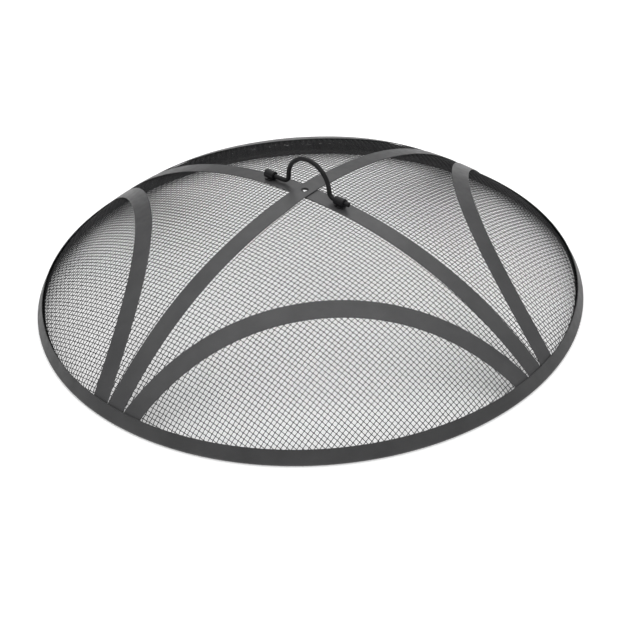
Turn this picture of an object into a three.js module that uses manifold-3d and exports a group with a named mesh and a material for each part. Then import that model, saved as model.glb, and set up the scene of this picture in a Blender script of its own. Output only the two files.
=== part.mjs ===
// Domed spark screen for a round fire pit. A woven wire dome is gripped at its edge by a
// folded rim and stiffened by six flat straps: two that cross at the crown and four arched
// ones that join neighbouring ends of those two. A bail of round rod stands over the crown
// and swings in two sleeves welded to the lower crossing strap.
// Millimetres and degrees, +Z up, origin at the centre of the plane the rim rests on.
// The arched straps are centred on the X and Y axes, and the crossing straps lie between.

import * as THREE from "three";
import { mergeVertices } from "three/addons/utils/BufferGeometryUtils.js";
import Module from "manifold-3d";

const wasm = await Module();
wasm.setup();

// ---------------------------------------------------------------- driving dimensions

const RIM_DIAMETER = 755.65; // over the fold at the foot of the rim
const OVERALL_HEIGHT = 203.2; // rest plane to the top of the upright bail
const CLEARANCE = 0.5; // between pieces that lie on one another

const RIM_HEIGHT = 20; // rest plane to the lip of the outer leaf
const RIM_SLANT = 27; // leaves lean inwards from the vertical
const RIM_SHEET = 1; // thickness of the folded strip
const RIM_INNER_LEAF = 12; // length of the inner leaf above the fold
const RIM_LAND_HALF_ANGLE = 16; // half of the arc of the fold that is pressed flat to stand on

const WIRE_DIAMETER = 1; // woven cloth is two wires thick
const DOME_FULLNESS = 0.27; // 0 is a paraboloid, and more makes the shoulder rounder
const CLOTH_EDGE_GAP = 1.5; // cloth edge above the centre of the fold

const STRAP_WIDTH = 25.4;
const STRAP_SHEET = 1.2;
const STRAP_TAB = 13; // bent end of a strap inside the rim
const RIM_BEND_STANDOFF = 1; // bend of cloth and straps above the rim's lip
const CROWN_LIFT_FLAT = 16; // half length of the upper strap that rides over the lower one
const CROWN_LIFT_RUN = 44; // length over which it comes down to the cloth
const CROWN_HOLE = 10; // diameter of the hole through both crossing straps

const ARCH_MID_RADIUS = 219; // middle of an arched strap to the axis, in plan
const ARCH_END_SPLAY = 20.5; // arched strap's end leans from the radial direction
const ARCH_END_GAP = 1.6; // between neighbouring strap ends at the rim

const ROD_DIAMETER = 6.35;
const BAIL_ARCH_RADIUS = 35; // centre line of the round top
const BAIL_BEND_RADIUS = 9.5; // centre line of the bend at each foot
const BAIL_FOOT_STANDOFF = 8; // end of the bend to the sleeve, with the bail centred
const BAIL_SLIDE = 7.5; // the bail rests this far off centre, towards the right sleeve
const SLEEVE_LENGTH = 16.5;
const SLEEVE_WALL = 2.4;
const SLEEVE_BORE_CLEARANCE = 0.4; // radial
const SLEEVE_CHAMFER = 0.6;

// ---------------------------------------------------------------- fineness of the facets

const RING_STEPS = 96; // round the rim and the dome, a multiple of 4
const DOME_STEPS = 12; // crown to rim
const CROSS_STEPS = 48; // along a crossing strap
const ARCH_STEPS = 36; // along an arched strap
const STRAP_COLUMNS = 2; // across a strap
const ROD_SIDES = 12;
const BAIL_STEPS = 88;
const SLEEVE_SIDES = 24;
const HOLE_SIDES = 24;

const radians = THREE.MathUtils.degToRad;

// ---------------------------------------------------------------- sizes that follow

const slotHalf = (2 * WIRE_DIAMETER + STRAP_SHEET + 3 * CLEARANCE) / 2;
const foldRadius = slotHalf + RIM_SHEET;
const slant = radians(RIM_SLANT);
const landHalf = radians(RIM_LAND_HALF_ANGLE);
const fold = {
  r: RIM_DIAMETER / 2 - foldRadius,
  z: foldRadius * Math.cos(landHalf),
};

// A point of the rim's section: "up" along the leaves from the centre of the fold, and
// "out" square to them.
function rimPoint(up, out) {
  return new THREE.Vector2(
    fold.r - up * Math.sin(slant) + out * Math.cos(slant),
    fold.z + up * Math.cos(slant) + out * Math.sin(slant),
  );
}

const outerLeaf = (RIM_HEIGHT - fold.z - foldRadius * Math.sin(slant)) / Math.cos(slant);
const clothOut = WIRE_DIAMETER + CLEARANCE - slotHalf;
const bend = rimPoint(outerLeaf + RIM_BEND_STANDOFF, clothOut);
const clothEdge = rimPoint(CLOTH_EDGE_GAP, clothOut);
const strapEnd = rimPoint(outerLeaf + RIM_BEND_STANDOFF - STRAP_TAB, clothOut);

// Heights of the strap faces over the cloth's middle surface.
const strapUnder = WIRE_DIAMETER + CLEARANCE;
const strapOver = strapUnder + STRAP_SHEET;

const sleeveBore = ROD_DIAMETER / 2 + SLEEVE_BORE_CLEARANCE;
const sleeveRadius = sleeveBore + SLEEVE_WALL;
const sleeveStart = BAIL_ARCH_RADIUS + BAIL_BEND_RADIUS + BAIL_FOOT_STANDOFF;
const sleeveEnd = sleeveStart + SLEEVE_LENGTH;
const hingeHeight = OVERALL_HEIGHT - ROD_DIAMETER / 2 - BAIL_ARCH_RADIUS - BAIL_BEND_RADIUS;

// The dome's height as a share of its rise over the bend: 1 at the crown, 0 at the bend.
const share = (r) => {
  const s2 = (r / bend.x) ** 2;
  return (1 - s2) * (1 + DOME_FULLNESS * s2);
};
// The crown is as high as brings the lower strap just under the inner ends of the sleeves.
const seat = hingeHeight - sleeveRadius - CLEARANCE - strapOver;
const rise = (seat - bend.y) / share(sleeveStart);

// Middle surface of the cloth: a round dome out to the bend and a straight skirt beyond it.
function domeHeight(r) {
  if (r <= bend.x) return bend.y + rise * share(r);
  return bend.y - (r - bend.x) / Math.tan(slant);
}

// Upward normal of that surface as (radial, vertical). On the bend it is the mitre of both.
function domeNormal(r) {
  const s = r / bend.x;
  const slope = (rise / bend.x) * (2 * (DOME_FULLNESS - 1) * s - 4 * DOME_FULLNESS * s ** 3);
  const dome = new THREE.Vector2(-slope, 1).normalize();
  const skirt = new THREE.Vector2(Math.cos(slant), Math.sin(slant));
  const onBend = 1e-6;
  if (r < bend.x - onBend) return dome;
  if (r > bend.x + onBend) return skirt;
  const mitre = dome.clone().add(skirt).normalize();
  return mitre.divideScalar(mitre.dot(skirt));
}

// Moves a plan point up to the middle surface and then by "height" along the normal.
function onDome(x, y, height) {
  const r = Math.hypot(x, y);
  const n = domeNormal(r);
  const stretch = r > 0 ? (r + height * n.x) / r : 1;
  return new THREE.Vector3(x * stretch, y * stretch, domeHeight(r) + height * n.y);
}

// ---------------------------------------------------------------- mesh helpers

// A closed profile in (r, z) turned about +Z.
function turned(profile, steps) {
  const geometry = new THREE.LatheGeometry(profile, steps);
  geometry.rotateX(Math.PI / 2);
  return geometry;
}

function toSolid(geometry) {
  const bare = geometry.index ? geometry.toNonIndexed() : geometry.clone();
  for (const name of Object.keys(bare.attributes)) {
    if (name !== "position") bare.deleteAttribute(name);
  }
  const merged = mergeVertices(bare, 1e-4);
  return new wasm.Manifold(
    new wasm.Mesh({
      numProp: 3,
      vertProperties: merged.attributes.position.array,
      triVerts: new Uint32Array(merged.index.array),
    }),
  );
}

function toGeometry(solid) {
  const mesh = solid.getMesh();
  const geometry = new THREE.BufferGeometry();
  geometry.setAttribute("position", new THREE.BufferAttribute(mesh.vertProperties, 3));
  geometry.setIndex(new THREE.BufferAttribute(mesh.triVerts, 1));
  return geometry;
}

// A sheet between two faces. point(row, column, face) gives a corner, and face is 0 under
// and 1 over. Rows run along +u and columns along +v, so u cross v points out of face 1.
function sheet(rows, columns, point) {
  const positions = [];
  const index = [];
  const at = (i, j, face) => (i * (columns + 1) + j) * 2 + face;
  const quad = (a, b, c, d) => index.push(a, b, c, a, c, d);
  for (let i = 0; i <= rows; i++)
    for (let j = 0; j <= columns; j++)
      for (const face of [0, 1]) positions.push(...point(i, j, face).toArray());
  for (let i = 0; i < rows; i++) {
    for (let j = 0; j < columns; j++) {
      quad(at(i, j, 1), at(i + 1, j, 1), at(i + 1, j + 1, 1), at(i, j + 1, 1));
      quad(at(i, j, 0), at(i, j + 1, 0), at(i + 1, j + 1, 0), at(i + 1, j, 0));
    }
    quad(at(i, 0, 0), at(i + 1, 0, 0), at(i + 1, 0, 1), at(i, 0, 1));
    quad(at(i, columns, 0), at(i, columns, 1), at(i + 1, columns, 1), at(i + 1, columns, 0));
  }
  for (let j = 0; j < columns; j++) {
    quad(at(0, j, 0), at(0, j, 1), at(0, j + 1, 1), at(0, j + 1, 0));
    quad(at(rows, j, 0), at(rows, j + 1, 0), at(rows, j + 1, 1), at(rows, j, 1));
  }
  const geometry = new THREE.BufferGeometry();
  geometry.setAttribute("position", new THREE.Float32BufferAttribute(positions, 3));
  geometry.setIndex(index);
  return geometry;
}

// ---------------------------------------------------------------- rim and cloth

function rimChannel() {
  const profile = [];
  // An arc round the fold's centre. Angles are from the radial direction, and the first
  // point is left out because the stretch before it ends there.
  const arc = (radius, from, to, steps) => {
    for (let i = 1; i <= steps; i++) {
      const a = from + ((to - from) * i) / steps;
      profile.push(
        new THREE.Vector2(fold.r + radius * Math.cos(a), fold.z + radius * Math.sin(a)),
      );
    }
  };
  const foot = -Math.PI / 2;
  profile.push(rimPoint(outerLeaf, foldRadius), rimPoint(0, foldRadius));
  arc(foldRadius, slant, 0, 1);
  arc(foldRadius, 0, foot + landHalf, 3);
  arc(foldRadius, foot + landHalf, foot - landHalf, 1);
  arc(foldRadius, foot - landHalf, slant - Math.PI, 2);
  profile.push(rimPoint(RIM_INNER_LEAF, -foldRadius), rimPoint(RIM_INNER_LEAF, -slotHalf));
  profile.push(rimPoint(0, -slotHalf));
  arc(slotHalf, slant - Math.PI, slant, 6);
  profile.push(rimPoint(outerLeaf, slotHalf), profile[0]);
  return turned(profile.reverse(), RING_STEPS);
}

function clothDome() {
  const radii = [];
  for (let i = 0; i <= DOME_STEPS; i++) radii.push((bend.x * i) / DOME_STEPS);
  radii.push(clothEdge.x);
  const face = (height) =>
    radii.map((r) => {
      const n = domeNormal(r);
      return new THREE.Vector2(r + height * n.x, domeHeight(r) + height * n.y);
    });
  const over = face(WIRE_DIAMETER);
  const under = face(-WIRE_DIAMETER);
  return turned([...under, ...over.reverse()], RING_STEPS);
}

// ---------------------------------------------------------------- straps

// A strap lies on the dome along a plan curve y = w(u), x = u. line(u) gives w and its
// slope, and lift(u) raises the strap off the cloth. Each lengthwise edge stops at the
// bend, and a tab carries on down the skirt in the same radial plane.
function strap(steps, line, lift) {
  // Plan point at u on the line that runs a surface distance v beside the centre line.
  const beside = (u, v) => {
    const { w, slope } = line(u);
    const r = Math.min(Math.hypot(u, w), bend.x - 1e-3);
    const n = domeNormal(r);
    const size = Math.hypot(u, w) || 1;
    const normal = new THREE.Vector3((n.x * u) / size, (n.x * w) / size, n.y);
    const along = new THREE.Vector3(1, slope, 0);
    along.z = -(normal.x + normal.y * slope) / normal.z;
    const across = normal.cross(along.normalize());
    return new THREE.Vector2(u + v * across.x, w + v * across.y);
  };
  // The u at which that line meets the bend, found by halving.
  const reach = (v, sign) => {
    let inside = 0;
    let outside = 2 * bend.x;
    for (let i = 0; i < 60; i++) {
      const u = (inside + outside) / 2;
      if (beside(sign * u, v).length() < bend.x) inside = u;
      else outside = u;
    }
    return (sign * (inside + outside)) / 2;
  };
  const columns = [];
  for (let j = 0; j <= STRAP_COLUMNS; j++) {
    const v = STRAP_WIDTH * (j / STRAP_COLUMNS - 0.5);
    columns.push({ v, from: reach(v, -1), to: reach(v, 1) });
  }
  return sheet(steps + 2, STRAP_COLUMNS, (i, j, face) => {
    const { v, from, to } = columns[j];
    const row = THREE.MathUtils.clamp(i - 1, 0, steps);
    const u = from + ((to - from) * row) / steps;
    const p = beside(u, v);
    const onEnd = row === 0 || row === steps;
    if (onEnd) p.setLength(i === row + 1 ? bend.x : strapEnd.x);
    return onDome(p.x, p.y, (face ? strapOver : strapUnder) + lift(u));
  });
}

const level = () => 0;
const straight = () => ({ w: 0, slope: 0 });

// The upper crossing strap is raised by one sheet at the crown.
function overCrown(u) {
  const t = (Math.abs(u) - CROWN_LIFT_FLAT) / CROWN_LIFT_RUN;
  return (STRAP_SHEET + CLEARANCE) * (1 - THREE.MathUtils.smoothstep(t, 0, 1));
}

// w = mid + b u^2 + c u^4. It ends on the bend beside the crossing strap, and b and c give
// it its place and its splay there.
function archLine() {
  const splay = radians(ARCH_END_SPLAY);
  const spacing = STRAP_WIDTH / 2 + ARCH_END_GAP + STRAP_WIDTH / 2 / Math.cos(splay);
  const half = Math.PI / 4 - spacing / bend.x;
  const end = { u: bend.x * Math.sin(half), w: bend.x * Math.cos(half) };
  const slope = Math.tan(Math.PI / 2 - half - splay);
  const climb = end.w - ARCH_MID_RADIUS;
  const c = ((slope * end.u) / 2 - climb) / end.u ** 4;
  const b = (climb - c * end.u ** 4) / end.u ** 2;
  return (u) => ({
    w: ARCH_MID_RADIUS + b * u ** 2 + c * u ** 4,
    slope: 2 * b * u + 4 * c * u ** 3,
  });
}

// A crossing strap has the crown hole, cut square to it.
function crossStrap(lift) {
  const reachThrough = 4 * (strapOver + STRAP_SHEET + CLEARANCE);
  const drill = new THREE.CylinderGeometry(
    CROWN_HOLE / 2,
    CROWN_HOLE / 2,
    reachThrough,
    HOLE_SIDES,
  );
  drill.rotateX(Math.PI / 2);
  drill.translate(0, 0, domeHeight(0));
  const blank = toSolid(strap(CROSS_STEPS, straight, lift));
  return toGeometry(blank.subtract(toSolid(drill)));
}

// ---------------------------------------------------------------- sleeves and bail

// A sleeve along +X from 0 to its length.
function sleeve() {
  const c = SLEEVE_CHAMFER;
  const corner = (r, along) => new THREE.Vector2(r, along);
  const profile = [
    corner(sleeveBore, 0),
    corner(sleeveRadius - c, 0),
    corner(sleeveRadius, c),
    corner(sleeveRadius, SLEEVE_LENGTH - c),
    corner(sleeveRadius - c, SLEEVE_LENGTH),
    corner(sleeveBore, SLEEVE_LENGTH),
    corner(sleeveBore, 0),
  ];
  const geometry = new THREE.LatheGeometry(profile, SLEEVE_SIDES);
  geometry.rotateZ(-Math.PI / 2);
  return geometry;
}

// Centre line of the bail in the XZ plane: a straight foot, a bend, a half circle, and the
// same again. Each stretch is followed by its length. The feet span both sleeves end to end.
class BailLine extends THREE.Curve {
  constructor() {
    super();
    const foot = sleeveEnd - BAIL_ARCH_RADIUS - BAIL_BEND_RADIUS;
    const quarter = (Math.PI / 2) * BAIL_BEND_RADIUS;
    this.marks = [foot, foot + quarter];
    this.half = foot + quarter + (Math.PI / 2) * BAIL_ARCH_RADIUS;
  }
  getPoint(t, target = new THREE.Vector3()) {
    const side = t < 0.5 ? -1 : 1;
    const s = 2 * this.half * (side < 0 ? t : 1 - t);
    const [footEnd, bendEnd] = this.marks;
    let x = sleeveEnd - s;
    let z = 0;
    if (s > footEnd) {
      const a = (Math.min(s, bendEnd) - footEnd) / BAIL_BEND_RADIUS;
      x = BAIL_ARCH_RADIUS + BAIL_BEND_RADIUS * (1 - Math.sin(a));
      z = BAIL_BEND_RADIUS * (1 - Math.cos(a));
    }
    if (s > bendEnd) {
      const a = (s - bendEnd) / BAIL_ARCH_RADIUS;
      x = BAIL_ARCH_RADIUS * Math.cos(a);
      z = BAIL_BEND_RADIUS + BAIL_ARCH_RADIUS * Math.sin(a);
    }
    return target.set(side * x, 0, z);
  }
}

function bail() {
  const section = new THREE.Shape();
  for (let i = 0; i < ROD_SIDES; i++) {
    const a = (2 * Math.PI * i) / ROD_SIDES;
    const corner = [(ROD_DIAMETER / 2) * Math.cos(a), (ROD_DIAMETER / 2) * Math.sin(a)];
    if (i === 0) section.moveTo(...corner);
    else section.lineTo(...corner);
  }
  section.closePath();
  return new THREE.ExtrudeGeometry(section, {
    steps: BAIL_STEPS,
    extrudePath: new BailLine(),
  });
}

// ---------------------------------------------------------------- finishes

const finish = (color, roughness, metalness) =>
  new THREE.MeshStandardMaterial({ color, roughness, metalness });
const rimPaint = () => finish(0x3c3c3e, 0.55, 0.3);
const strapPaint = () => finish(0x4a4a4d, 0.55, 0.3);
const clothPaint = () => finish(0x1c1c1e, 0.6, 0.4);
const rodPaint = () => finish(0x232427, 0.45, 0.3);

// ---------------------------------------------------------------- assembly

const group = new THREE.Group();

function place(parent, name, geometry, material) {
  const mesh = new THREE.Mesh(geometry, material);
  mesh.name = name;
  parent.add(mesh);
  return mesh;
}

place(group, "rim_channel", rimChannel(), rimPaint());
place(group, "mesh_dome", clothDome(), clothPaint());

// The lower strap, its sleeves and the bail share the line from back left to front right.
const hingeLine = new THREE.Group();
hingeLine.rotation.z = radians(-45);
group.add(hingeLine);
place(hingeLine, "cross_strap_lower", crossStrap(level), strapPaint());

const hinge = new THREE.Group();
hinge.position.z = hingeHeight;
hingeLine.add(hinge);
place(hinge, "sleeve_right", sleeve(), rodPaint()).position.x = sleeveStart;
place(hinge, "sleeve_left", sleeve(), rodPaint()).position.x = -sleeveEnd;
place(hinge, "bail_handle", bail(), rodPaint()).position.x = BAIL_SLIDE;

const upperStrap = place(group, "cross_strap_upper", crossStrap(overCrown), strapPaint());
upperStrap.rotation.z = radians(45);

const arch = archLine();
const archPlaces = { back: 0, left: 90, front: 180, right: 270 };
for (const [side, turn] of Object.entries(archPlaces)) {
  const piece = place(group, "arch_strap_" + side, strap(ARCH_STEPS, arch, level), strapPaint());
  piece.rotation.z = radians(turn);
}

export default group;
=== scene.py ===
"""Domed spark screen for a round fire pit: woven wire over six flat straps and a folded rim.

Metres, +Z up, origin at the centre of the plane that the rim rests on.
"""

import math

import bpy
import numpy as np
from mathutils import Matrix, Vector


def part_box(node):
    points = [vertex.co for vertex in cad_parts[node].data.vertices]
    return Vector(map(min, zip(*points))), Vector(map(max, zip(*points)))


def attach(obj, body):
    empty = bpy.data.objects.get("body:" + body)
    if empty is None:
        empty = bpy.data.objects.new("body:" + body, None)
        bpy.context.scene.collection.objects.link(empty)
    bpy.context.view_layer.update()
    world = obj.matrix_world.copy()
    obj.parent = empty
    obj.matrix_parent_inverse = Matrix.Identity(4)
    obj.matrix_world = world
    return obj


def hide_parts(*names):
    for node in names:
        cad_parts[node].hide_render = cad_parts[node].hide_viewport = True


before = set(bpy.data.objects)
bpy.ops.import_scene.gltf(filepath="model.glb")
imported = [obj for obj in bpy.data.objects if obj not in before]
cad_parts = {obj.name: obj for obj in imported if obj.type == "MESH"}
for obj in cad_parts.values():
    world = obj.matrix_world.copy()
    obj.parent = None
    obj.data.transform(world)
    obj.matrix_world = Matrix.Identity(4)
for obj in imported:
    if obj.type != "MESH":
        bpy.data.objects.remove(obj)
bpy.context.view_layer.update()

MM = 0.001

# ---------------------------------------------------------------- sizes of the real pieces

WIRE = 1.0 * MM
WIRE_PITCH = 5.7 * MM
CLEARANCE = 0.5 * MM
DOME_FULLNESS = 0.27

RIM_SHEET = 1.0 * MM
RIM_SLANT = math.radians(27)
RIM_LAND_HALF_ANGLE = math.radians(16)
RIM_INNER_LEAF = 12 * MM
RIM_BEND_STANDOFF = 1 * MM
CLOTH_EDGE_GAP = 1.5 * MM
BEND_EASE = 2.5 * MM

STRAP_WIDTH = 25.4 * MM
STRAP_SHEET = 1.2 * MM
STRAP_EDGE = 0.4 * MM
STRAP_TAB = 13 * MM
CROWN_LIFT_FLAT = 16 * MM
CROWN_LIFT_RUN = 44 * MM
CROWN_HOLE = 10 * MM
ARCH_MID_RADIUS = 219 * MM
ARCH_END_SPLAY = math.radians(20.5)
ARCH_END_GAP = 1.6 * MM

BAIL_BEND_RADIUS = 9.5 * MM
ROD_END_ROUND = 0.7 * MM
SLEEVE_BORE_CLEARANCE = 0.4 * MM
SLEEVE_ROUND = 0.6 * MM
WELD_RADIUS = 1.7 * MM
WELD_BESIDE = 4.1 * MM

# ---------------------------------------------------------------- sizes read from the frame

HALF_TURN = math.pi
ROOT_TWO = math.sqrt(2)
rim_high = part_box("rim_channel")[1]
sleeve_low, sleeve_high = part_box("sleeve_right")
bail_low, bail_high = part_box("bail_handle")

RIM_RADIUS = rim_high.x
RIM_HEIGHT = rim_high.z
SLEEVE_RADIUS = (sleeve_high.z - sleeve_low.z) / 2
HINGE_HEIGHT = (sleeve_high.z + sleeve_low.z) / 2
SLEEVE_START = sleeve_low.x * ROOT_TWO + SLEEVE_RADIUS
SLEEVE_END = sleeve_high.x * ROOT_TWO - SLEEVE_RADIUS
ROD_RADIUS = HINGE_HEIGHT - bail_low.z
BAIL_ARCH_RADIUS = bail_high.z - ROD_RADIUS - HINGE_HEIGHT - BAIL_BEND_RADIUS
BAIL_SLIDE = (bail_high.x + bail_low.x) / 2 * ROOT_TWO

slot_half = (2 * WIRE + STRAP_SHEET + 3 * CLEARANCE) / 2
fold_radius = slot_half + RIM_SHEET
fold_r = RIM_RADIUS - fold_radius
fold_z = fold_radius * math.cos(RIM_LAND_HALF_ANGLE)


def rim_point(up, out):
    """(r, z) of a point of the rim's section.

    It lies the distance up along the leaves from the fold's centre, and the distance out square to them.
    """
    r = fold_r - up * math.sin(RIM_SLANT) + out * math.cos(RIM_SLANT)
    z = fold_z + up * math.cos(RIM_SLANT) + out * math.sin(RIM_SLANT)
    return np.array([r, z])


outer_leaf = (RIM_HEIGHT - fold_z - fold_radius * math.sin(RIM_SLANT)) / math.cos(RIM_SLANT)
cloth_out = WIRE + CLEARANCE - slot_half
BEND_RADIUS, BEND_HEIGHT = rim_point(outer_leaf + RIM_BEND_STANDOFF, cloth_out)
CROWN_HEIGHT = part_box("mesh_dome")[1].z - WIRE
DOME_RISE = CROWN_HEIGHT - BEND_HEIGHT
SKIRT = outer_leaf + RIM_BEND_STANDOFF - CLOTH_EDGE_GAP
STRAP_UNDER = WIRE + CLEARANCE
STRAP_OVER = STRAP_UNDER + STRAP_SHEET

# ---------------------------------------------------------------- camera, floor and light

LENS = 73.13
SENSOR_WIDTH = 36
NEAR_CLIP = 0.05
CAMERA_DISTANCE = 1.7935
CAMERA_AZIMUTH = math.radians(-3.2)
CAMERA_ELEVATION = math.radians(32.96)
CAMERA_ROLL = math.radians(-2.68)
ORBIT_HEIGHT = 60 * MM
AIM_RIGHT = 12.12 * MM
AIM_HEIGHT = -64.02 * MM

SKY_RISE = (0.42, 1.0)
SKY_LOW = 0.25
SKY_HIGH = 1.65
KEY_PLACE = (1.2, -1.8, 2.4)
KEY_AIM = (0, 0, 0)
KEY_SIZE = 1.6
KEY_POWER = 7
BACK_PLACE = (0.5, 2.3, 2.2)
BACK_AIM = (0, 0, 0.1)
BACK_SIZE = 2.0
BACK_POWER = 16
FLOOR_HALF = 6.0
FLOOR_DROP = 0.2 * MM
FLOOR_GREY = 0.93
FLOOR_ROUGHNESS = 0.9
FLOOR_SHINE = 0.1
FLOOR_GLOW = 0.3


def camera():
    """Stands on an orbit round a point of the axis, aims a little beside and below it, and is rolled."""
    back = Vector((
        math.sin(CAMERA_AZIMUTH) * math.cos(CAMERA_ELEVATION),
        -math.cos(CAMERA_AZIMUTH) * math.cos(CAMERA_ELEVATION),
        math.sin(CAMERA_ELEVATION),
    ))
    place = Vector((0, 0, ORBIT_HEIGHT)) + CAMERA_DISTANCE * back
    shift = AIM_RIGHT * Vector((math.cos(CAMERA_AZIMUTH), math.sin(CAMERA_AZIMUTH), 0))
    sight = (shift + Vector((0, 0, AIM_HEIGHT)) - place).normalized()
    right = sight.cross(Vector((0, 0, 1))).normalized()
    turn = Matrix((right, right.cross(sight), -sight)).transposed().to_4x4()
    made = bpy.data.objects.new("camera", bpy.data.cameras.new("camera"))
    made.data.lens = LENS
    made.data.sensor_width = SENSOR_WIDTH
    made.data.clip_start = NEAR_CLIP
    made.matrix_world = Matrix.Translation(place) @ turn @ Matrix.Rotation(CAMERA_ROLL, 4, "Z")
    bpy.context.scene.collection.objects.link(made)
    bpy.context.scene.camera = made


def softbox(name, place, aim, size, power):
    """A square area light at place, turned to shine at aim."""
    data = bpy.data.lights.new(name, "AREA")
    data.size = size
    data.energy = power
    made = bpy.data.objects.new(name, data)
    turn = (Vector(aim) - Vector(place)).to_track_quat("-Z", "Y").to_matrix().to_4x4()
    made.matrix_world = Matrix.Translation(place) @ turn
    bpy.context.scene.collection.objects.link(made)


def studio():
    """A wide pale floor that glows a little, under a white sky that darkens downwards, with two softboxes."""
    world = bpy.data.worlds.new("studio")
    bpy.context.scene.world = world
    world.use_nodes = True
    tree = world.node_tree
    direction = tree.nodes.new("ShaderNodeTexCoord").outputs["Generated"]
    parts = tree.nodes.new("ShaderNodeSeparateXYZ")
    tree.links.new(direction, parts.inputs["Vector"])
    height = between(tree, parts.outputs["Z"], SKY_RISE, (SKY_LOW, SKY_HIGH))
    tree.links.new(height, tree.nodes["Background"].inputs["Strength"])
    tree.nodes["Background"].inputs["Color"].default_value = (1, 1, 1, 1)
    softbox("key", KEY_PLACE, KEY_AIM, KEY_SIZE, KEY_POWER)
    softbox("back", BACK_PLACE, BACK_AIM, BACK_SIZE, BACK_POWER)
    corners = [(FLOOR_HALF * x, FLOOR_HALF * y) for x, y in ((-1, -1), (1, -1), (1, 1), (-1, 1))]
    mesh = bpy.data.meshes.new("floor")
    mesh.from_pydata([(x, y, -FLOOR_DROP) for x, y in corners], [], [(0, 1, 2, 3)])
    floor = bpy.data.objects.new("floor", mesh)
    bpy.context.scene.collection.objects.link(floor)
    pale = bpy.data.materials.new("pale_floor")
    pale.use_nodes = True
    shader = pale.node_tree.nodes["Principled BSDF"]
    shader.inputs["Base Color"].default_value = (FLOOR_GREY, FLOOR_GREY, FLOOR_GREY, 1)
    shader.inputs["Roughness"].default_value = FLOOR_ROUGHNESS
    shader.inputs["Specular IOR Level"].default_value = FLOOR_SHINE
    shader.inputs["Emission Color"].default_value = (1, 1, 1, 1)
    shader.inputs["Emission Strength"].default_value = FLOOR_GLOW
    mesh.materials.append(pale)
    bpy.context.scene.view_settings.view_transform = "Standard"


# ---------------------------------------------------------------- the dome's own surface

DOME_SAMPLES = 3001
SKIRT_SAMPLES = 300
SKIRT_FIRST = 0.1 * MM
SKIRT_LAST = 30 * MM
TINY = 1e-9


def dome_lean(radius):
    """Angle by which the dome falls away from level.

    With s for the radius as a share of the bend's, the dome's height above the bend is its rise times one
    minus s squared, times one plus the fullness times s squared. The angle is that of its slope.
    """
    s = radius / BEND_RADIUS
    slope = DOME_RISE / BEND_RADIUS * (2 * (DOME_FULLNESS - 1) * s - 4 * DOME_FULLNESS * s**3)
    return np.arctan(-slope)


def running_sum(rate, distance):
    """The integral of rate along distance by trapezoids, starting from 0."""
    return np.concatenate([[0], np.cumsum((rate[1:] + rate[:-1]) / 2 * np.diff(distance))])


class Meridian:
    """The cloth's middle surface down one meridian, as arrays over the distance from the crown.

    The lean is the dome's as far as the bend and the skirt's past it, and it turns evenly from one to
    the other over a short stretch at the bend. Radius and height are the sums of its cosine and sine.
    """

    r = np.linspace(0, BEND_RADIUS, DOME_SAMPLES)
    s = running_sum(1 / np.cos(dome_lean(r)), r)
    at_bend = s[-1]
    distance = np.concatenate([s, at_bend + np.linspace(SKIRT_FIRST, SKIRT_LAST, SKIRT_SAMPLES)])
    steep = np.concatenate([dome_lean(r), np.full(SKIRT_SAMPLES, HALF_TURN / 2 - RIM_SLANT)])
    ease = (distance > at_bend - BEND_EASE) & (distance < at_bend + BEND_EASE)
    lean = np.where(ease, np.interp(distance, distance[~ease], steep[~ease]), steep)
    radius = running_sum(np.cos(lean), distance)
    height = CROWN_HEIGHT - running_sum(np.sin(lean), distance)


def on_dome(distance, east, north, lift):
    """Points and normals at a distance from the crown, in the plan direction (east, north).

    The points are lifted along the normal.
    """
    lean = np.interp(distance, Meridian.distance, Meridian.lean)
    r = np.interp(distance, Meridian.distance, Meridian.radius) + lift * np.sin(lean)
    z = np.interp(distance, Meridian.distance, Meridian.height) + lift * np.cos(lean)
    points = np.stack([r * east, r * north, z], -1)
    normals = np.stack([np.sin(lean) * east, np.sin(lean) * north, np.cos(lean)], -1)
    return points, normals


# ---------------------------------------------------------------- mesh helpers


def unit(vectors):
    """Vectors divided by their lengths."""
    return vectors / np.linalg.norm(vectors, axis=-1, keepdims=True)


def turned_about_z(points, angle):
    """Points turned about +Z."""
    c, s = math.cos(angle), math.sin(angle)
    return points @ np.array([[c, s, 0], [-s, c, 0], [0, 0, 1]])


def grid_faces(rows, columns, close_rows=False, close_columns=False):
    """Quads of a rows by columns grid of points.

    Where it is closed, the last row or column is joined to the first.
    """
    i = np.arange(rows if close_rows else rows - 1)[:, None]
    j = np.arange(columns if close_columns else columns - 1)[None, :]
    i, j = np.broadcast_arrays(i, j)
    ahead, beside = (i + 1) % rows, (j + 1) % columns
    quads = [i * columns + j, ahead * columns + j, ahead * columns + beside, i * columns + beside]
    return np.stack(quads, -1).reshape(-1, 4)


def piece(name, points, faces, body, material, stands_for, uv=None):
    """A mesh object from points and lists of face arrays. uv holds one pair for each point."""
    faces = [f for f in faces if len(f)]
    corners = np.concatenate([f.ravel() for f in faces]).astype(np.int32)
    lengths = np.concatenate([np.full(len(f), f.shape[1]) for f in faces])
    starts = np.concatenate([[0], np.cumsum(lengths)[:-1]]).astype(np.int32)
    mesh = bpy.data.meshes.new(name)
    mesh.vertices.add(len(points))
    mesh.vertices.foreach_set("co", np.ascontiguousarray(points, np.float32).ravel())
    mesh.loops.add(len(corners))
    mesh.loops.foreach_set("vertex_index", corners)
    mesh.polygons.add(len(starts))
    mesh.polygons.foreach_set("loop_start", starts)
    mesh.polygons.foreach_set("use_smooth", np.ones(len(starts), bool))
    mesh.update(calc_edges=True)
    if uv is not None:
        layer = mesh.uv_layers.new(name="UVMap")
        layer.data.foreach_set("uv", np.ascontiguousarray(uv[corners], np.float32).ravel())
    mesh.validate()
    mesh.materials.append(material)
    made = bpy.data.objects.new(name, mesh)
    bpy.context.scene.collection.objects.link(made)
    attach(made, body)
    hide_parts(*stands_for)


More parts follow.
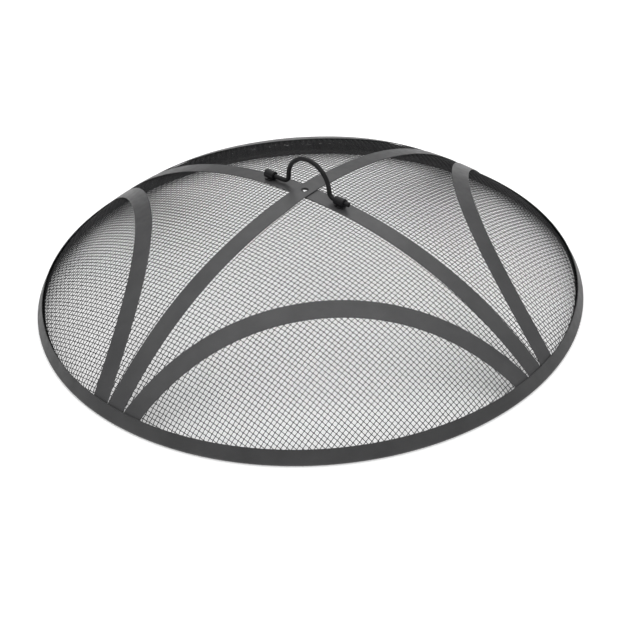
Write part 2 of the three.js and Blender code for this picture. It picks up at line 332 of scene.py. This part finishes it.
def tube(path, normals, radii, sides):
    """A round bar along a path, with both ends capped.

    Each ring's points go round by an angle: the cosine of it along side, and its sine along up, times the
    radius. side is the normal crossed with the path's direction, and up is that direction crossed with side.
    """
    along = unit(np.gradient(path, axis=0))
    side = unit(np.cross(normals, along))
    up = np.cross(along, side)
    a = 2 * HALF_TURN * np.arange(sides) / sides
    ring = np.cos(a)[None, :, None] * side[:, None] + np.sin(a)[None, :, None] * up[:, None]
    points = path[:, None] + np.broadcast_to(radii, len(path))[:, None, None] * ring
    walls = grid_faces(len(path), sides, close_columns=True)[:, ::-1]
    first = np.arange(sides)[None, ::-1]
    last = (len(path) - 1) * sides + np.arange(sides)[None]
    return points.reshape(-1, 3), walls, np.concatenate([first, last])


def lathe(profile, steps):
    """A closed (r, z) outline, anticlockwise, carried round +Z."""
    a = 2 * HALF_TURN * np.arange(steps) / steps
    r, z = np.asarray(profile).T
    points = np.stack([
        np.cos(a)[:, None] * r,
        np.sin(a)[:, None] * r,
        np.broadcast_to(z, (steps, len(z))),
    ], -1)
    return points.reshape(-1, 3), grid_faces(steps, len(r), close_rows=True, close_columns=True)


# ---------------------------------------------------------------- finishes

NOISE_ROUGHNESS = 0.55
CLOUD_SIZE = 45 * MM
CLOUD_RANGE = (0.35, 0.65)
SPECK_SIZE = 1.1 * MM
SPECK_RANGE = (0.55, 0.8)
SPECK_SHARE = 0.5
SPECK_GAIN = 1.25
GLOSS_SIZE = 12 * MM
GLOSS_RANGE = (0.3, 0.7)
GLOSS_SPREAD = 0.06
BROAD_DETAIL = 3.0
FINE_DETAIL = 2.0


def nodes_of(name):
    """A new material with its node tree, its shader, and its Object coordinates."""
    made = bpy.data.materials.new(name)
    made.use_nodes = True
    tree = made.node_tree
    place = tree.nodes.new("ShaderNodeTexCoord")
    return made, tree, tree.nodes["Principled BSDF"], place.outputs["Object"]


def noise(tree, place, size, detail=BROAD_DETAIL):
    """Noise with lumps of about the given size in metres."""
    made = tree.nodes.new("ShaderNodeTexNoise")
    made.inputs["Scale"].default_value = 1 / size
    made.inputs["Detail"].default_value = detail
    made.inputs["Roughness"].default_value = NOISE_ROUGHNESS
    tree.links.new(place, made.inputs["Vector"])
    return made.outputs["Fac"]


def between(tree, value, source, result):
    """value carried from the range source to the range result, and held inside it."""
    made = tree.nodes.new("ShaderNodeMapRange")
    tree.links.new(value, made.inputs["Value"])
    made.inputs["From Min"].default_value, made.inputs["From Max"].default_value = source
    made.inputs["To Min"].default_value, made.inputs["To Max"].default_value = result
    return made.outputs["Result"]


def mixed(tree, share, low, high):
    """A colour between low and high, each of them a colour or another node's output."""
    made = tree.nodes.new("ShaderNodeMix")
    made.data_type = "RGBA"
    tree.links.new(share, made.inputs["Factor"])
    for socket, colour in ((made.inputs["A"], low), (made.inputs["B"], high)):
        if isinstance(colour, bpy.types.NodeSocket):
            tree.links.new(colour, socket)
        else:
            socket.default_value = (*colour, 1)
    return made.outputs["Result"]


def bump(tree, height, depth):
    """A bump of the given depth in metres."""
    made = tree.nodes.new("ShaderNodeBump")
    made.inputs["Distance"].default_value = depth
    tree.links.new(height, made.inputs["Height"])
    return made.outputs["Normal"]


def stove_paint(name, dark, light, roughness, shine, grain, grain_depth):
    """High-temperature paint: cloudy between dark and light, with fine orange peel and an uneven gloss."""
    made, tree, shader, place = nodes_of(name)
    cloud = noise(tree, place, CLOUD_SIZE)
    speck = noise(tree, place, SPECK_SIZE, FINE_DETAIL)
    base = mixed(tree, between(tree, cloud, CLOUD_RANGE, (0, 1)), dark, light)
    paler = tuple(SPECK_GAIN * c for c in light)
    tree.links.new(
        mixed(tree, between(tree, speck, SPECK_RANGE, (0, SPECK_SHARE)), base, paler),
        shader.inputs["Base Color"],
    )
    uneven = noise(tree, place, GLOSS_SIZE)
    spread = (roughness - GLOSS_SPREAD, roughness + GLOSS_SPREAD)
    tree.links.new(between(tree, uneven, GLOSS_RANGE, spread), shader.inputs["Roughness"])
    peel = bump(tree, noise(tree, place, grain, FINE_DETAIL), grain_depth)
    tree.links.new(peel, shader.inputs["Normal"])
    shader.inputs["Specular IOR Level"].default_value = shine
    return made


rim_paint = stove_paint(
    "rim_paint", (0.043, 0.043, 0.044), (0.056, 0.056, 0.057), 0.5, 0.35, 0.9 * MM, 0.03 * MM
)
strap_paint = stove_paint(
    "strap_paint", (0.044, 0.044, 0.0455), (0.057, 0.057, 0.0585), 0.45, 0.5, 0.9 * MM, 0.03 * MM
)
wire_paint = stove_paint(
    "wire_paint", (0.007, 0.007, 0.008), (0.012, 0.012, 0.013), 0.5, 0.2, 0.5 * MM, 0.01 * MM
)
rod_paint = stove_paint(
    "rod_paint", (0.008, 0.008, 0.009), (0.013, 0.013, 0.014), 0.38, 0.25, 0.8 * MM, 0.03 * MM
)

# ---------------------------------------------------------------- woven cloth

CLOTH_TURN = math.radians(46)
STEPS_PER_CELL = 4
WIRE_SIDES = 5
CLOTH_GROUPS = 5
CLOTH_SEED = 11
PLACE_SPREAD = 0.03
EDGE_MARGIN = 0.5 * WIRE_PITCH
DRIFT = 0.5 * MM
DRIFT_LENGTH = 90 * MM
DRIFT_PHASES = (1.3, 0.4)
DRIFT_STRETCHES = (1.7, 1.4)


def cloth_families():
    """The cloth's reach, and for each wire direction the wires' numbers and distances from the middle.

    Each wire is a little off its even place, by a normal spread.
    """
    chance = np.random.default_rng(CLOTH_SEED)
    reach = Meridian.at_bend + SKIRT
    count = int(reach / WIRE_PITCH)
    numbers = np.arange(-count - 1, count + 2)
    return reach, [
        (numbers, (numbers + PLACE_SPREAD * chance.standard_normal(len(numbers))) * WIRE_PITCH)
        for _ in range(2)
    ]


def cloth_wire(number, offset, crossing, reach, family):
    """One woven wire, from edge to edge.

    In the flat cloth it runs straight at its offset, and rises and dips by half a wire as a cosine that
    turns over from one crossing to the next, against the wires that it crosses. The flat cloth drifts by
    slow sine waves, and is then pressed over the dome with every distance from the crown kept.
    """
    half = math.sqrt(reach**2 - offset**2)
    numbers, places = crossing
    first, last = np.interp([-half, half], places, numbers)
    step = 1 / STEPS_PER_CELL
    count = np.arange(math.ceil(first / step), math.floor(last / step) + 1) * step
    a = np.interp(count, numbers, places)
    b = np.full(len(a), offset)
    lift = WIRE / 2 * np.cos(HALF_TURN * (count + number))
    if family == 1:
        a, b, lift = -b, a, -lift
    da = DRIFT * np.sin(b / DRIFT_LENGTH + DRIFT_PHASES[0]) * np.cos(a / (DRIFT_STRETCHES[0] * DRIFT_LENGTH))
    db = DRIFT * np.sin(a / DRIFT_LENGTH + DRIFT_PHASES[1]) * np.cos(b / (DRIFT_STRETCHES[1] * DRIFT_LENGTH))
    a, b = a + da, b + db
    c, s = math.cos(CLOTH_TURN), math.sin(CLOTH_TURN)
    east, north = a * c - b * s, a * s + b * c
    distance = np.maximum(np.hypot(east, north), TINY)
    points, normals = on_dome(distance, east / distance, north / distance, lift)
    return tube(points, normals, WIRE / 2, WIRE_SIDES)


def woven_cloth():
    """Both families of wires, each family joined into a few pieces of like size."""
    reach, families = cloth_families()
    for family, name in enumerate(("warp", "weft")):
        numbers, places = families[family]
        kept = [k for k in range(len(numbers)) if abs(places[k]) < reach - EDGE_MARGIN]
        wires = [cloth_wire(numbers[k], places[k], families[1 - family], reach, family) for k in kept]
        ends = np.cumsum([len(points) for points, _, _ in wires])
        share = np.minimum((ends - 1) * CLOTH_GROUPS // ends[-1], CLOTH_GROUPS - 1)
        for group in range(CLOTH_GROUPS):
            chosen = [wires[k] for k in np.flatnonzero(share == group)]
            starts = np.cumsum([0] + [len(points) for points, _, _ in chosen])
            piece(
                f"{name}_wires_{group + 1}",
                np.concatenate([points for points, _, _ in chosen]),
                [np.concatenate([wire[k] + start for wire, start in zip(chosen, starts)]) for k in (1, 2)],
                "screen", wire_paint, ["mesh_dome"],
            )


# ---------------------------------------------------------------- rim

RIM_STEPS = 480
LEAF_STEPS = 9
LEAF_EDGE_STEPS = 8
INNER_FOLD_STEPS = 6
OUTER_FOLD_STEPS = 14
SLOT_STEPS = 16


def rim_outline():
    """The rim's section, anticlockwise: a strip folded into a hook with a long outer and a short inner leaf.

    Round stretches are arcs about the fold's centre, and each leaf's edge is a half circle.
    """
    def arc(radius, start, end, steps):
        a = np.linspace(start, end, steps + 1)
        return np.stack([fold_r + radius * np.cos(a), fold_z + radius * np.sin(a)], -1)

    def edge(up, middle):
        a = np.linspace(-HALF_TURN / 2, HALF_TURN / 2, LEAF_EDGE_STEPS + 1)
        half = RIM_SHEET / 2
        return [rim_point(up - half + half * math.cos(t), middle - half * math.sin(t)) for t in a]

    middle = slot_half + RIM_SHEET / 2
    foot = -HALF_TURN / 2
    leaf_steps = np.linspace(0, 1, LEAF_STEPS)[1:-1]
    return np.concatenate([
        [rim_point(RIM_INNER_LEAF * (1 - t), -fold_radius) for t in leaf_steps],
        arc(fold_radius, RIM_SLANT - HALF_TURN, foot - RIM_LAND_HALF_ANGLE, INNER_FOLD_STEPS),
        arc(fold_radius, foot + RIM_LAND_HALF_ANGLE, RIM_SLANT, OUTER_FOLD_STEPS),
        [rim_point(outer_leaf * t, fold_radius) for t in leaf_steps],
        edge(outer_leaf, middle),
        [rim_point(outer_leaf * (1 - t), slot_half) for t in leaf_steps],
        arc(slot_half, RIM_SLANT, RIM_SLANT - HALF_TURN, SLOT_STEPS),
        [rim_point(RIM_INNER_LEAF * t, -slot_half) for t in leaf_steps],
        edge(RIM_INNER_LEAF, -middle),
    ])


def rim():
    """The folded rim, carried round the axis."""
    points, faces = lathe(rim_outline(), RIM_STEPS)
    piece("folded_rim", points, [faces], "screen", rim_paint, ["rim_channel"])


# ---------------------------------------------------------------- straps

HALVINGS = 50
EDGE_ROUND_POINTS = 4
FINE_LANES = (0.04, 0.12)
INNER_LANES = 11
PLAIN_MIDDLE_ROWS = 9
ROW_STEP = 3 * MM
BEND_ZONE = 4 * MM
BEND_ROWS = 17
LAST_ROW_BEFORE = 6 * MM
FIRST_ROW_AFTER = 7 * MM
TAB_ROWS = 3
HOLE_RINGS = 7
HOLE_RING_POWER = 1.2


def straight(u):
    """The plan line of a crossing strap and its slope."""
    return 0 * u, 0 * u


def arch_shape():
    """The plan line of an arched strap, and its half length in u.

    Its distance from the axis is that of its middle, plus b times u squared, plus c times u to the fourth. It
    ends on the bend beside a crossing strap, and b and c give it its place and its splay there.
    """
    spacing = STRAP_WIDTH / 2 + ARCH_END_GAP + STRAP_WIDTH / 2 / math.cos(ARCH_END_SPLAY)
    half_angle = HALF_TURN / 4 - spacing / BEND_RADIUS
    end_u, end_w = BEND_RADIUS * math.sin(half_angle), BEND_RADIUS * math.cos(half_angle)
    slope = math.tan(HALF_TURN / 2 - half_angle - ARCH_END_SPLAY)
    climb = end_w - ARCH_MID_RADIUS
    c = (slope * end_u / 2 - climb) / end_u**4
    b = (climb - c * end_u**4) / end_u**2
    return (lambda u: (ARCH_MID_RADIUS + b * u**2 + c * u**4, 2 * b * u + 4 * c * u**3)), end_u


def beside(u, v, line):
    """The plan point at u on the line that runs a surface distance v beside the strap's centre line."""
    w, slope = line(u)
    size = np.maximum(np.hypot(u, w), TINY)
    lean = dome_lean(np.minimum(size, BEND_RADIUS))
    normal = np.stack([np.sin(lean) * u / size, np.sin(lean) * w / size, np.cos(lean)], -1)
    fall = -(normal[..., 0] + normal[..., 1] * slope) / normal[..., 2]
    along = unit(np.stack([np.ones_like(u), slope, fall], -1))
    across = np.cross(normal, along)
    return u + v * across[..., 0], w + v * across[..., 1]


def reach_of(v, sign, line):
    """The u at which that line meets the bend, found by halving."""
    inside, outside = np.zeros_like(v), np.full_like(v, 2 * BEND_RADIUS)
    for _ in range(HALVINGS):
        u = (inside + outside) / 2
        short = np.hypot(*beside(sign * u, v, line)) < BEND_RADIUS
        inside, outside = np.where(short, u, inside), np.where(short, outside, u)
    return sign * (inside + outside) / 2


def laid(flat, half, line, lift):
    """A flat strap's points (along, across, height) laid on the dome.

    The stretch within half of its middle is spread between the strap's two ends on the bend. What is
    longer carries on down the skirt. Height is measured from the cloth's middle surface.
    """
    along, across, height = flat.T
    lanes, which = np.unique(np.round(across, 9), return_inverse=True)
    start, end = (reach_of(lanes, sign, line)[which] for sign in (-1, 1))
    share = (np.clip(along / half, -1, 1) + 1) / 2
    u = start + (end - start) * share
    x, y = beside(u, across, line)
    r = np.maximum(np.hypot(x, y), TINY)
    distance = np.interp(r, Meridian.radius, Meridian.distance) + np.maximum(np.abs(along) - half, 0)
    return on_dome(distance, x / r, y / r, height + lift(u))[0]


def patch(grid):
    """The quads of a grid of points, as four corners each."""
    return np.stack([grid[:-1, :-1], grid[1:, :-1], grid[1:, 1:], grid[:-1, 1:]], 2).reshape(-1, 4, 3)


def swept(first, second, height):
    """A grid of (along, across, height) from two coordinate arrays that broadcast together."""
    return np.stack(np.broadcast_arrays(first, second, height), -1)


def edge_curve():
    """(out, height) down a rolled edge: a quarter round, a straight and a quarter round."""
    a = np.linspace(0, HALF_TURN / 2, EDGE_ROUND_POINTS)
    upper = np.stack([STRAP_EDGE * np.sin(a), STRAP_OVER - STRAP_EDGE * (1 - np.cos(a))], -1)
    lower = np.stack([STRAP_EDGE * np.cos(a), STRAP_UNDER + STRAP_EDGE * (1 - np.sin(a))], -1)
    return np.concatenate([upper, lower]).T


def flat_strap(half, hole):
    """Corners of a flat strap with rolled edges, and with a round hole in its middle where hole isn't 0.

    The faces are a grid. Round the hole, spokes run from a circle to a square as wide as the strap.
    """
    inset = STRAP_WIDTH / 2 - STRAP_EDGE
    fine = np.array(FINE_LANES) * 2 * inset
    inner = np.linspace(-inset + fine[1], inset - fine[1], INNER_LANES)
    across = np.concatenate([[-inset, -inset + fine[0]], inner, [inset - fine[0], inset]])
    run = np.concatenate([
        np.linspace(inset, half - LAST_ROW_BEFORE, int(half / ROW_STEP)),
        np.linspace(half - BEND_ZONE, half + BEND_ZONE, BEND_ROWS),
        np.linspace(half + FIRST_ROW_AFTER, half + STRAP_TAB, TAB_ROWS),
    ])
    middle = across if hole else np.linspace(-inset, inset, PLAIN_MIDDLE_ROWS)
    rows = np.concatenate([-run[::-1], middle[1:-1], run])
    out, height = edge_curve()
    parts = []
    for side_height, flip in ((STRAP_OVER, 1), (STRAP_UNDER, -1)):
        stretches = [-run[::-1], run] if hole else [rows]
        for stretch in stretches:
            parts.append(patch(swept(stretch[:, None], across[None, :], side_height))[:, ::flip])
    for side in (1, -1):
        strip = patch(swept(rows[:, None], side * (inset + out[None, :]), height[None, :]))
        parts.append(strip[:, ::side])
    for end in (1, -1):
        tip = end * run[-1]
        face = patch(swept(tip, across[:, None], np.array([[STRAP_UNDER, STRAP_OVER]])))
        parts.append(face[:, ::end])
        for side in (1, -1):
            pairs = np.stack([height[:EDGE_ROUND_POINTS], height[: EDGE_ROUND_POINTS - 1 : -1]], -1)
            corner = patch(swept(tip, side * (inset + out[:EDGE_ROUND_POINTS, None]), pairs))
            parts.append(corner[:, :: -end * side])
    if hole:
        parts += hole_parts(across, hole / 2, out, height)
    return np.concatenate(parts)


def hole_parts(lanes, radius, out, height):
    """Faces between the hole and the square round it, above and below, and the hole's rounded wall."""
    side = lanes[:-1]
    size = lanes[-1]
    full = np.full(len(side), size)
    square = np.concatenate([
        np.stack([full, side], -1),
        np.stack([-side, full], -1),
        np.stack([-full, -side], -1),
        np.stack([side, -full], -1),
    ])
    square = np.concatenate([square, square[:1]])
    circle = unit(square)
    rim_radius = radius + STRAP_EDGE
    share = np.linspace(0, 1, HOLE_RINGS)[:, None, None] ** HOLE_RING_POWER
    spokes = (1 - share) * rim_radius * circle + share * square
    over = swept(spokes[..., 0], spokes[..., 1], STRAP_OVER)
    under = swept(spokes[..., 0], spokes[..., 1], STRAP_UNDER)
    wall_radius = (rim_radius - out)[None, :]
    wall = swept(circle[:, :1] * wall_radius, circle[:, 1:] * wall_radius, height[None, :])
    return [patch(over), patch(under)[:, ::-1], patch(wall)]


def strap(name, node, half, line, lift, angle, hole=0):
    """One strap: flat, welded into one surface, laid on the dome and turned to its place."""
    corners = flat_strap(half, hole)
    flat, which = np.unique(np.round(corners.reshape(-1, 3), 8), axis=0, return_inverse=True)
    points = turned_about_z(laid(flat, half, line, lift), angle)
    piece(
        name, points, [which.reshape(-1, 4)], "screen", strap_paint, [node],
        uv=flat[:, :2],
    )


def level(u):
    """No lift."""
    return 0 * u


def over_crown(u):
    """The upper strap is raised by one sheet at the crown and comes down by a smooth step."""
    t = np.clip((np.abs(u) - CROWN_LIFT_FLAT) / CROWN_LIFT_RUN, 0, 1)
    return (STRAP_SHEET + CLEARANCE) * (1 - t * t * (3 - 2 * t))


def straps():
    """Two straps that cross at the crown and four arched ones between their ends."""
    eighth = HALF_TURN / 4
    strap("lower_cross_strap", "cross_strap_lower", BEND_RADIUS, straight, level, -eighth, CROWN_HOLE)
    strap("upper_cross_strap", "cross_strap_upper", BEND_RADIUS, straight, over_crown, eighth, CROWN_HOLE)
    line, half = arch_shape()
    for turns, side in enumerate(("back", "left", "front", "right")):
        strap(f"{side}_arched_strap", f"arch_strap_{side}", half, line, level, turns * HALF_TURN / 2)


# ---------------------------------------------------------------- bail and sleeves

HINGE_TURN = -HALF_TURN / 4
BAIL_STEPS = 141
ROD_SIDES = 28
END_ROUND_POINTS = 5
SLEEVE_STEPS = 48

WELD_STEPS = 61
WELD_SIDES = 16
WELD_END_INSET = 0.8 * MM
WELD_END_SHARE = 0.03
WELD_RISE = 0.4
WELD_LUMPS = ((0.16, 9), (0.1, 23))
WELD_SWAY = 0.3 * MM
WELD_SWAY_RATE = 6
WELD_PHASE_STEP = 1.1


def along_hinge(points):
    """Points about the hinge, with x along it, turned and lifted to its place."""
    return turned_about_z(points, HINGE_TURN) + np.array([0, 0, HINGE_HEIGHT])


def bail_line(s):
    """Half of the bail's centre line at a distance s from the tip: foot, bend, and arch up to the top."""
    foot = SLEEVE_END - BAIL_ARCH_RADIUS - BAIL_BEND_RADIUS
    bend_end = foot + HALF_TURN / 2 * BAIL_BEND_RADIUS
    a = np.clip((s - foot) / BAIL_BEND_RADIUS, 0, HALF_TURN / 2)
    t = np.maximum((s - bend_end) / BAIL_ARCH_RADIUS, 0)
    x = np.where(s < foot, SLEEVE_END - s, BAIL_ARCH_RADIUS + BAIL_BEND_RADIUS * (1 - np.sin(a)))
    x = np.where(s > bend_end, BAIL_ARCH_RADIUS * np.cos(t), x)
    z = BAIL_BEND_RADIUS * (1 - np.cos(a)) + BAIL_ARCH_RADIUS * np.sin(t)
    return np.stack([x, 0 * s, z], -1), bend_end + HALF_TURN / 2 * BAIL_ARCH_RADIUS


def bail():
    """A round bar along the bail's line, with its ends rounded off."""
    length = bail_line(np.zeros(1))[1]
    a = np.linspace(0, HALF_TURN / 2, END_ROUND_POINTS)
    ends = ROD_END_ROUND * (1 - np.cos(a))
    s = np.concatenate([ends, np.linspace(ROD_END_ROUND, length, BAIL_STEPS)[1:]])
    radii = np.full(len(s), ROD_RADIUS)
    radii[: len(a)] -= ROD_END_ROUND * (1 - np.sin(a))
    right = bail_line(s)[0]
    left = right[:-1][::-1] * [-1, 1, 1]
    path = np.concatenate([right, left]) + [BAIL_SLIDE, 0, 0]
    radii = np.concatenate([radii, radii[:-1][::-1]])
    points, walls, caps = tube(path, np.array([[0.0, 1.0, 0.0]]), radii, ROD_SIDES)
    piece("bail_rod", along_hinge(points), [walls, caps], "bail", rod_paint, ["bail_handle"])


def sleeve(name, node, start):
    """A short tube with rounded edges, its outline turned about the hinge line."""
    bore = ROD_RADIUS + SLEEVE_BORE_CLEARANCE
    length = SLEEVE_END - SLEEVE_START
    a = np.linspace(0, HALF_TURN / 2, END_ROUND_POINTS)
    edge = SLEEVE_ROUND
    outer = SLEEVE_RADIUS - edge * (1 - np.sin(a))
    inset = edge * (1 - np.cos(a))
    outline = np.concatenate([
        [[bore, length - edge / 2], [bore, edge / 2], [bore + edge / 2, 0]],
        np.stack([outer, inset], -1),
        np.stack([outer, length - inset], -1)[::-1],
        [[bore + edge / 2, length]],
    ])
    points, faces = lathe(outline, SLEEVE_STEPS)
    lying = points[:, [2, 0, 1]] + [start, 0, 0]
    piece(name, along_hinge(lying), [faces], "screen", rod_paint, [node])


def weld(name, node, side, facing, phase):
    """A lumpy bead in the corner between a sleeve and the strap under it, on one side of the sleeve.

    It lies on the strap and follows its fall. Its radius shrinks to its ends as a half ellipse does, and
    slow sine waves shift and swell it.
    """
    share = np.linspace(-1, 1, WELD_STEPS)
    half = (SLEEVE_END - SLEEVE_START) / 2 - WELD_END_INSET
    x = side * (SLEEVE_START + SLEEVE_END) / 2 + half * share
    distance = np.interp(np.abs(x), Meridian.radius, Meridian.distance)
    points, normals = on_dome(distance, np.sign(x), 0 * x, STRAP_OVER)
    (broad, slow), (small, quick) = WELD_LUMPS
    swell = 1 + broad * np.sin(slow * share + phase) + small * np.sin(quick * share + 2 * phase)
    radii = WELD_RADIUS * swell * np.sqrt(np.maximum(1 - share**2, WELD_END_SHARE))
    sway = WELD_SWAY * np.sin(WELD_SWAY_RATE * share + 3 * phase)
    points[:, 1] += facing * (WELD_BESIDE + sway)
    points[:, 2] += WELD_RISE * WELD_RADIUS
    made, walls, caps = tube(points, normals, radii, WELD_SIDES)
    placed = turned_about_z(made, HINGE_TURN)
    piece(name, placed, [walls, caps], "screen", rod_paint, [node])


def sleeves():
    """The sleeves on both sides of the crown, each with a weld bead along both of its sides."""
    for side, word, start in ((1, "right", SLEEVE_START), (-1, "left", -SLEEVE_END)):
        sleeve(f"{word}_sleeve", f"sleeve_{word}", start)
        for facing, place in ((-1, "front"), (1, "back")):
            phase = WELD_PHASE_STEP * side + facing
            weld(f"{word}_sleeve_{place}_weld", f"sleeve_{word}", side, facing, phase)


camera()
studio()
woven_cloth()
rim()
straps()
bail()
sleeves()
